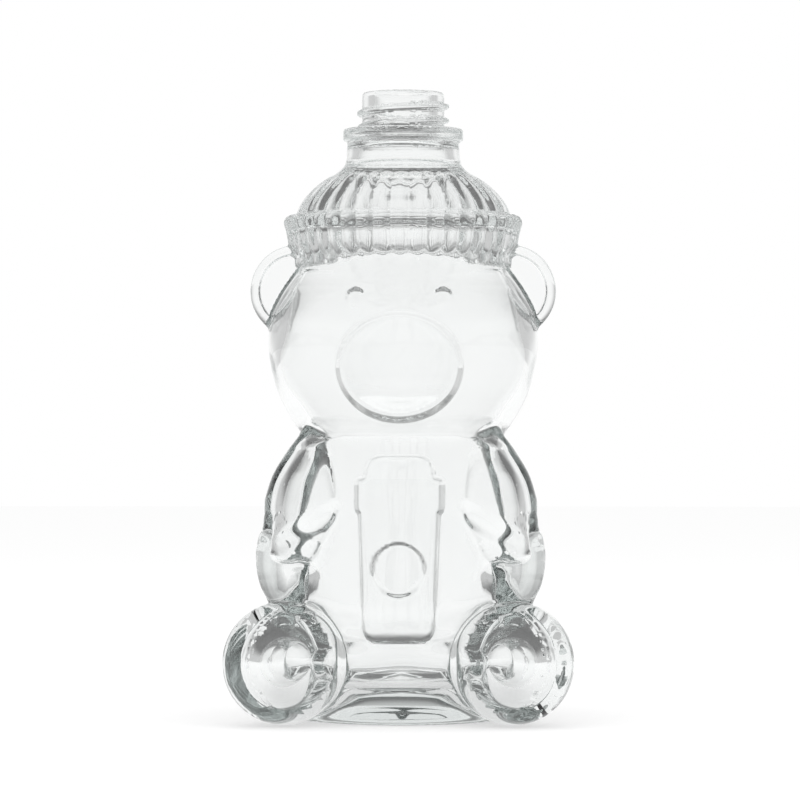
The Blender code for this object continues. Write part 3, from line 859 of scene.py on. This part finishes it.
@dataclass
class Net:
    """A net of square faces laid over the surface of a form.

    Attributes:
        form: Distances to the form, negative inside the glass.
        low: Lowest corner of the space to search.
        high: Highest corner of that space.
        cell: Size of a cell of the search.
        step: How far apart the form is read to find its slope.
        least_slope: Least square of the slope that a move is divided by.
        places: Corners of the net.
        faces: Rows of four corners, each face turned outward.
    """

    form: Form
    low: Sequence[float]
    high: Sequence[float]
    cell: float
    step: float = 0.04 * MM
    least_slope: float = 0.1
    places: Array = field(default_factory=lambda: np.zeros((0, 3)))
    faces: Array = field(default_factory=lambda: np.zeros((0, 4), int))

    def axes(self) -> list[Array]:
        """Return the levels of the search grid along each axis, two cells past the space."""
        result = []
        for low, high in zip(self.low, self.high):
            count = int(math.ceil((high - low) / self.cell)) + 4
            start = (low + high - count * self.cell) / 2
            result.append(start + self.cell * np.arange(count + 1))
        return result

    def lay(self) -> None:
        """Find every cell that the surface crosses and join the cells into faces."""
        x, y, z = self.axes()
        values = self.form(Place(x[:, None, None], y[None, :, None], z[None, None, :]))
        solid = values < 0.0
        shape = tuple(size - 1 for size in solid.shape)
        corners = [(i, j, k) for i in (0, 1) for j in (0, 1) for k in (0, 1)]
        parts = [solid[i:i + shape[0], j:j + shape[1], k:k + shape[2]] for i, j, k in corners]
        crossed = np.logical_or.reduce(parts) & ~np.logical_and.reduce(parts)
        cells = np.argwhere(crossed)
        number = np.full(shape, -1, dtype=np.int64)
        number[crossed] = np.arange(len(cells))
        total, count = np.zeros((len(cells), 3)), np.zeros((len(cells), 1))
        at = [cells + np.array(corner) for corner in corners]
        level = [values[c[:, 0], c[:, 1], c[:, 2]] for c in at]
        spot = [np.stack([x[c[:, 0]], y[c[:, 1]], z[c[:, 2]]], axis=1) for c in at]
        for first in range(8):
            for bit in (1, 2, 4):
                second = first | bit
                if second == first:
                    continue
                cross = (level[first] < 0) != (level[second] < 0)
                gap = np.where(cross, level[first] - level[second], 1.0)
                share = (level[first] / gap)[:, None]
                point = spot[first] + share * (spot[second] - spot[first])
                total += np.where(cross[:, None], point, 0.0)
                count += cross[:, None]
        self.places = total / count
        self.faces = np.concatenate([self.sheet(solid, number, axis) for axis in range(3)])

    @staticmethod
    def sheet(solid: Array, number: Array, axis: int) -> Array:
        """Return the faces that cross the grid's edges along one axis.

        Args:
            solid: Whether each grid point is in the glass.
            number: The number of each crossed cell.
            axis: The axis of the edges.

        Returns:
            Rows of four cell numbers, each face turned outward.
        """
        body = np.moveaxis(solid, (axis, (axis + 1) % 3, (axis + 2) % 3), (0, 1, 2))
        cell = np.moveaxis(number, (axis, (axis + 1) % 3, (axis + 2) % 3), (0, 1, 2))
        low, high = body[:-1, 1:-1, 1:-1], body[1:, 1:-1, 1:-1]
        result = []
        for mask, order in ((low & ~high, (0, 1, 2, 3)), (high & ~low, (3, 2, 1, 0))):
            i, j, k = np.nonzero(mask)
            ring = [cell[i, j, k], cell[i, j + 1, k], cell[i, j + 1, k + 1], cell[i, j, k + 1]]
            result.append(np.stack([ring[index] for index in order], axis=1))
        return np.concatenate(result)

    def slope(self, places: Array) -> Array:
        """Return the form's gradient at places."""
        result = np.empty_like(places)
        for axis in range(3):
            ahead, behind = places.copy(), places.copy()
            ahead[:, axis] += self.step
            behind[:, axis] -= self.step
            change = self.form(Place(*ahead.T)) - self.form(Place(*behind.T))
            result[:, axis] = change / (2 * self.step)
        return result

    def settle(self, rounds: int = 3) -> Array:
        """Draw the net onto the surface.

        Args:
            rounds: How many times to draw it closer.

        Returns:
            The outward direction of the surface at each place.
        """
        reach = self.cell / 2
        for _ in range(rounds):
            slope = self.slope(self.places)
            value = self.form(Place(*self.places.T))
            square = np.maximum((slope**2).sum(axis=1), self.least_slope)
            move = value[:, None] * slope / square[:, None]
            self.places = self.places - np.clip(move, -reach, reach)
        self.places = np.clip(self.places, self.low, self.high)
        slope = self.slope(self.places)
        return slope / np.maximum(np.linalg.norm(slope, axis=1), TINY)[:, None]

    def mesh(self, name: str) -> bpy.types.Mesh:
        """Build the mesh, with smooth normals read from the form."""
        self.lay()
        normals = self.settle()
        mesh = bpy.data.meshes.new(name)
        mesh.vertices.add(len(self.places))
        mesh.vertices.foreach_set("co", self.places.astype(np.float32).ravel())
        mesh.loops.add(self.faces.size)
        mesh.loops.foreach_set("vertex_index", self.faces.astype(np.int32).ravel())
        mesh.polygons.add(len(self.faces))
        mesh.polygons.foreach_set("loop_start", np.arange(0, self.faces.size, 4, dtype=np.int32))
        mesh.update(calc_edges=True)
        mesh.shade_smooth()
        mesh.normals_split_custom_set_from_vertices(normals.astype(np.float32))
        return mesh


class Ray(Enum):
    """The kinds of light path that a shader can tell apart, by output of their node."""

    CAMERA = 0
    SHADOW = 1
    GLOSSY = 3
    TRANSMISSION = 6


class Expression:
    """A socket of a material whose arithmetic adds Math nodes.

    Attributes:
        tree: The material that the socket is in.
        socket: The socket that holds the value.
    """

    def __init__(self, tree: "NodeTree", socket: bpy.types.NodeSocket) -> None:
        """Wrap one socket of a node tree."""
        self.tree = tree
        self.socket = socket

    def maths(self, operation: str, first: Number, second: Number) -> "Expression":
        """Add one Math node and return what it gives."""
        return self.tree.node("ShaderNodeMath", {"operation": operation}, {0: first, 1: second})[0]

    def __add__(self, other: Number) -> "Expression":
        """Add a value."""
        return self.maths("ADD", self, other)

    def __radd__(self, other: Number) -> "Expression":
        """Add to a value."""
        return self.maths("ADD", other, self)

    def __rsub__(self, other: Number) -> "Expression":
        """Take away from a value."""
        return self.maths("SUBTRACT", other, self)

    def __mul__(self, other: Number) -> "Expression":
        """Multiply by a value."""
        return self.maths("MULTIPLY", self, other)

    def highest(self, other: Number) -> "Expression":
        """Return the higher of this and another value."""
        return self.maths("MAXIMUM", self, other)

    def eased(self, start: float, end: float, low: float, high: float) -> "Expression":
        """Return low up to start and high from end on, with a smooth step between."""
        inputs = {0: self, 1: start, 2: end, 3: low, 4: high}
        return self.tree.node("ShaderNodeMapRange", {"interpolation_type": "SMOOTHSTEP"}, inputs)[0]


class NodeTree:
    """A node tree with one way to add any node.

    Attributes:
        tree: The Blender node tree.
    """

    def __init__(self, owner: Union[bpy.types.Material, bpy.types.World]) -> None:
        """Clear the nodes of a material or a world."""
        owner.use_nodes = True
        self.tree = owner.node_tree
        self.tree.nodes.clear()

    def node(self, kind: str, settings: dict[str, object] | None = None,
             inputs: dict[Union[str, int], object] | None = None) -> list[Expression]:
        """Add a node.

        Args:
            kind: The node's type.
            settings: Properties to set on it first.
            inputs: Values or expressions for its sockets, by name or number.

        Returns:
            An expression for each of its outputs.
        """
        added = self.tree.nodes.new(kind)
        for name, value in (settings or {}).items():
            setattr(added, name, value)
        for name, value in (inputs or {}).items():
            if isinstance(value, Expression):
                self.tree.links.new(value.socket, added.inputs[name])
            else:
                added.inputs[name].default_value = value
        return [Expression(self, socket) for socket in added.outputs]

    def ray(self, kind: Ray) -> Expression:
        """Return 1 where a ray of this kind meets the surface, else 0."""
        return self.node("ShaderNodeLightPath")[kind.value]


@dataclass(frozen=True)
class GlassFinish:
    """Clear flint glass with the faint ripple of a blown wall.

    Attributes:
        clear: Tint of the clearest glass.
        deep: Tint where the glass is a little greener.
        ior: Index of refraction.
        ripple_scale: Ripples to the metre.
        ripple_depth: Depth of a ripple.
        grain_scale: Patches of roughness to the metre.
        roughness: Least and most roughness.
        shadow_share: Share of a shadow that the glass lets through.
        body_tint: Colour that the thickness of the glass leaves.
        body_density: How fast the thickness takes light away.
    """

    clear: tuple[float, float, float, float] = (0.995, 0.998, 0.997, 1.0)
    deep: tuple[float, float, float, float] = (0.975, 0.985, 0.982, 1.0)
    ior: float = 1.5
    ripple_scale: float = 60.0
    ripple_depth: float = 0.02 * MM
    grain_scale: float = 240.0
    roughness: tuple[float, float] = (0.0, 0.02)
    shadow_share: float = 0.8
    body_tint: tuple[float, float, float, float] = (0.55, 0.60, 0.59, 1.0)
    body_density: float = 8.0

    def material(self) -> bpy.types.Material:
        """Build the material."""
        material = bpy.data.materials.new("flint_glass")
        tree = NodeTree(material)
        where = tree.node("ShaderNodeTexCoord")[3]
        broad, fine = (
            tree.node("ShaderNodeTexNoise", None, {"Vector": where, "Scale": scale, "Detail": detail})[0]
            for scale, detail in ((self.ripple_scale, 1.0), (self.grain_scale, 2.0))
        )
        tint = tree.node("ShaderNodeMix", {"data_type": "RGBA"}, {0: broad, 6: self.clear, 7: self.deep})[2]
        low, high = self.roughness
        rough = low + fine * (high - low)
        bump = tree.node(
            "ShaderNodeBump", None, {"Height": broad, "Strength": 1.0, "Distance": self.ripple_depth}
        )[0]
        glass = tree.node(
            "ShaderNodeBsdfPrincipled",
            None,
            {
                "Base Color": tint,
                "Roughness": rough,
                "Normal": bump,
                "IOR": self.ior,
                "Transmission Weight": 1.0,
            },
        )[0]
        passing = tree.node("ShaderNodeBsdfTransparent")[0]
        share = tree.ray(Ray.SHADOW) * self.shadow_share
        mixed = tree.node("ShaderNodeMixShader", None, {0: share, 1: glass, 2: passing})[0]
        body = tree.node(
            "ShaderNodeVolumeAbsorption", None, {"Color": self.body_tint, "Density": self.body_density}
        )[0]
        tree.node("ShaderNodeOutputMaterial", None, {"Surface": mixed, "Volume": body})
        return material


@dataclass
class GlassBottle:
    """The whole bottle: one body of glass with one open mouth.

    Attributes:
        stack: Levels and places that the parts share.
        finish: The glass.
        cell: Size of a cell of the net.
        outer_fillets: Fillets of head, arms, legs, cup, muzzle, ears, hat and neck.
        hollow_fillets: Fillets of the hollows of head, arms, legs, hat and neck.
        recess_edge: Rounding where the push-up meets the base.
        ripple: Half the height of a wave of the inner surface.
        waves: How fast each wave turns, in radians to the metre, and where it starts.
    """

    stack: Stack
    finish: GlassFinish = GlassFinish()
    cell: float = 0.8 * MM
    outer_fillets: tuple[float, ...] = (
        1.5 * MM, 1.4 * MM, 2.2 * MM, 0.8 * MM, 1.0 * MM, 1.2 * MM, 0.8 * MM, 1.2 * MM
    )
    hollow_fillets: tuple[float, ...] = (6.0 * MM, 9.0 * MM, 9.0 * MM, 8.0 * MM, 3.0 * MM)
    recess_edge: float = 0.8 * MM
    ripple: float = 0.12 * MM
    waves: tuple[tuple[float, float], ...] = ((260.0, 1.3), (210.0, 0.4), (240.0, 2.1), (290.0, math.pi / 2))

    def __post_init__(self) -> None:
        """Make the parts of the bear on the shared stack."""
        self.torso = Torso(self.stack)
        self.head = Head(self.stack)
        self.hat = Hat(self.stack)
        self.neck = Neck(self.stack)
        self.ears = Ears(self.stack)
        self.face = Face(self.stack, self.head)
        self.arms = Arms(self.stack)
        self.legs = Legs(self.stack)
        self.cup = Cup(self.stack, self.torso, self.legs)

    def outer(self, at: Place) -> Array:
        """Return distances to the outer surface of the glass."""
        marked = (self.head, self.arms, self.legs, self.cup, self.face)
        plain = (self.ears, self.hat, self.neck)
        body = self.torso.outside(at)
        for part, fillet in zip(marked, self.outer_fillets):
            body = melt(body, part.outside(at), fillet)
        body = body + self.cup.badge.offset(at) + self.face.eyes.offset(at)
        for part, fillet in zip(plain, self.outer_fillets[len(marked):]):
            body = melt(body, part.outside(at), fillet)
        return body

    def hollow(self, at: Place) -> Array:
        """Return distances to the inner surface of the glass, with its slow ripple."""
        room = self.torso.inside(at)
        for part, fillet in zip((self.head, self.arms, self.legs, self.hat, self.neck), self.hollow_fillets):
            room = melt(room, part.inside(at), fillet)
        across, up, along, second_up = (
            np.sin(place * rate + start) for place, (rate, start) in zip((at.x, at.z, at.y, at.z), self.waves)
        )
        fade = 1.0 - ramp(at.z, self.stack.neck_bottom, self.stack.collar_bottom)
        return room + self.ripple * (across * up + along * second_up) * fade

    def glass(self, at: Place) -> Array:
        """Return distances to the glass itself."""
        body = overlap(self.outer(at), -self.hollow(at), self.neck.lip_edge)
        return overlap(body, -self.torso.recess(at), self.recess_edge)

    def build(self) -> bpy.types.Object:
        """Lay the mesh over the glass and dress it."""
        net = Net(self.glass, CAD_BOX[0], CAD_BOX[1], self.cell)
        bottle = bpy.data.objects.new("bear_bottle_glass", net.mesh("bear_bottle_glass"))
        bpy.context.scene.collection.objects.link(bottle)
        bottle.data.materials.append(self.finish.material())
        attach(bottle, "root")
        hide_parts("glass_bottle")
        return bottle


@dataclass(frozen=True)
class SoftBox:
    """A soft light by its name, place and size."""

    name: str
    place: tuple[float, float, float]
    size: tuple[float, float]


@dataclass(frozen=True)
class Studio:
    """The plain studio: a pale floor, soft lights, the surroundings and the camera.

    Attributes:
        stack: Levels and places of the bottle.
        distance: From the camera to the axis of the neck.
        camera_level: Height of the camera.
        azimuth: Degrees that the camera stands round to the right.
        sensor: Width of the camera's sensor.
        frame_width: Width that the picture shows at that distance.
        centre_x: Pixel column that the camera points at.
        centre_y: Pixel row that it points at.
        picture: Width and height of the picture in pixels.
        floor_size: Side of the floor.
        floor_white: Colour of the floor's paper.
        floor_glow: Strength of the floor's glow, where 1 is white.
        floor_glow_share: Share of the glow that the camera sees.
        floor_near: Where the glow that the glass sees begins to rise.
        floor_far: Where it ends rising.
        floor_near_share: Share of the glow that the glass sees near the bottle.
        floor_far_share: Share that it sees far away.
        side_level: Strength of the room beside and before the bottle, as the glass sees it.
        back_level: Strength of the room behind the bottle.
        back_start: Where the room begins to brighten toward the back, as a share of straight behind.
        back_end: Where it is at its brightest.
        ceiling_start: Where the room begins to darken upward, as a share of straight up.
        ceiling_end: Where it is at its darkest.
        ceiling_level: Share of the light that is left there.
        lamp_watts: Power of each soft light.
        lamp_aim: Height that the lights point at.
        boxes: The soft lights.
        bounces: How often light may pass or mirror, as the glass is seen through glass.
    """

    stack: Stack
    distance: float = 1.10
    camera_level: float = 80.5 * MM
    azimuth: float = 1.7
    sensor: float = 36.0 * MM
    frame_width: float = 226.56 * MM
    centre_x: float = 403.2
    centre_y: float = 430.0
    picture: float = 800.0
    floor_size: float = 6.0
    floor_white: float = 0.95
    floor_glow: float = 1.0
    floor_glow_share: float = 0.5
    floor_near: float = 0.12
    floor_far: float = 0.7
    floor_near_share: float = 0.65
    floor_far_share: float = 1.0
    side_level: float = 0.62
    back_level: float = 1.0
    back_start: float = 0.82
    back_end: float = 0.985
    ceiling_start: float = 0.15
    ceiling_end: float = 0.50
    ceiling_level: float = 0.3
    lamp_watts: float = 2.0
    lamp_aim: float = 90.0 * MM
    boxes: tuple[SoftBox, ...] = (
        SoftBox("left_box", (-0.9, -0.5, 0.55), (0.35, 0.9)),
        SoftBox("right_box", (0.9, -0.45, 0.5), (0.35, 0.9)),
        SoftBox("top_box", (0.0, 0.1, 1.1), (0.8, 0.5)),
    )
    bounces: int = 32

    def camera(self) -> None:
        """Set the camera where the photograph was taken from."""
        data = bpy.data.cameras.new("camera")
        data.sensor_width = self.sensor / MM
        data.lens = self.sensor / MM * self.distance / self.frame_width
        data.shift_x = (self.picture / 2 - self.centre_x) / self.picture
        data.shift_y = (self.centre_y - self.picture / 2) / self.picture
        data.clip_start = 0.01
        camera = bpy.data.objects.new("camera", data)
        turn = math.radians(self.azimuth)
        across, along = self.distance * math.sin(turn), self.distance * math.cos(turn)
        camera.location = (across, self.stack.axis_y - along, self.camera_level)
        camera.rotation_euler = (math.radians(90), 0.0, turn)
        bpy.context.scene.collection.objects.link(camera)
        bpy.context.scene.camera = camera

    @staticmethod
    def through(tree: NodeTree) -> Expression:
        """Return 1 for the rays that the glass mirrors or lets through."""
        return tree.ray(Ray.GLOSSY).highest(tree.ray(Ray.TRANSMISSION))

    def glowing(self, tree: NodeTree) -> Expression:
        """Return the floor's share of glow: even to the camera, less near the bottle to the glass."""
        where = tree.node("ShaderNodeTexCoord")[3]
        distance = tree.node("ShaderNodeVectorMath", {"operation": "LENGTH"}, {0: where})[1]
        glow = distance.eased(self.floor_near, self.floor_far, self.floor_near_share, self.floor_far_share)
        return tree.ray(Ray.CAMERA) * self.floor_glow_share + self.through(tree) * glow

    def floor(self) -> None:
        """Lay the pale floor."""
        half = self.floor_size / 2
        mesh = bpy.data.meshes.new("studio_floor")
        corners = [(-half, -half, 0), (half, -half, 0), (half, half, 0), (-half, half, 0)]
        mesh.from_pydata(corners, [], [(0, 1, 2, 3)])
        floor = bpy.data.objects.new("studio_floor", mesh)
        bpy.context.scene.collection.objects.link(floor)
        material = bpy.data.materials.new("studio_paper")
        tree = NodeTree(material)
        pale = (self.floor_white, self.floor_white, self.floor_white, 1.0)
        paper = tree.node("ShaderNodeBsdfDiffuse", None, {"Color": pale})[0]
        glow = tree.node("ShaderNodeEmission", None, {"Color": WHITE, "Strength": self.floor_glow})[0]
        mixed = tree.node("ShaderNodeMixShader", None, {0: self.glowing(tree), 1: paper, 2: glow})[0]
        tree.node("ShaderNodeOutputMaterial", None, {"Surface": mixed})
        floor.data.materials.append(material)

    def surroundings(self) -> None:
        """Make the room: plain white, but to the glass dimmer at the sides and dark overhead."""
        world = bpy.data.worlds.new("studio")
        bpy.context.scene.world = world
        tree = NodeTree(world)
        where = tree.node("ShaderNodeTexCoord")[0]
        parts = tree.node("ShaderNodeSeparateXYZ", None, {0: where})
        around = parts[1].eased(self.back_start, self.back_end, self.side_level, self.back_level)
        ceiling = parts[2].eased(self.ceiling_start, self.ceiling_end, 1.0, self.ceiling_level)
        level = 1.0 - self.through(tree) * (1.0 - around * ceiling)
        light = tree.node("ShaderNodeBackground", None, {"Color": WHITE, "Strength": level})[0]
        tree.node("ShaderNodeOutputWorld", None, {"Surface": light})

    def lamps(self) -> None:
        """Hang the soft lights."""
        target = Vector((0.0, 0.0, self.lamp_aim))
        for box in self.boxes:
            data = bpy.data.lights.new(box.name, "AREA")
            data.shape = "RECTANGLE"
            data.size, data.size_y = box.size
            data.energy = self.lamp_watts
            lamp = bpy.data.objects.new(box.name, data)
            lamp.location = box.place
            lamp.rotation_euler = (target - Vector(box.place)).to_track_quat("-Z", "Y").to_euler()
            lamp.visible_camera = lamp.visible_glossy = lamp.visible_transmission = False
            bpy.context.scene.collection.objects.link(lamp)

    def build(self) -> None:
        """Set up the whole studio."""
        self.camera()
        self.floor()
        self.surroundings()
        self.lamps()
        scene = bpy.context.scene
        scene.view_settings.view_transform = "Standard"
        scene.cycles.max_bounces = self.bounces
        scene.cycles.glossy_bounces = self.bounces
        scene.cycles.transmission_bounces = self.bounces


def main() -> None:
    """Build the bottle and the studio, and report each piece."""
    logging.basicConfig(level=logging.INFO, format="%(message)s")
    stack = Stack()
    bottle = GlassBottle(stack).build()
    LOG.info("%s: %d faces", bottle.name, len(bottle.data.polygons))
    Studio(stack).build()
    LOG.info("studio is set")


if __name__ == "__main__":
    main()
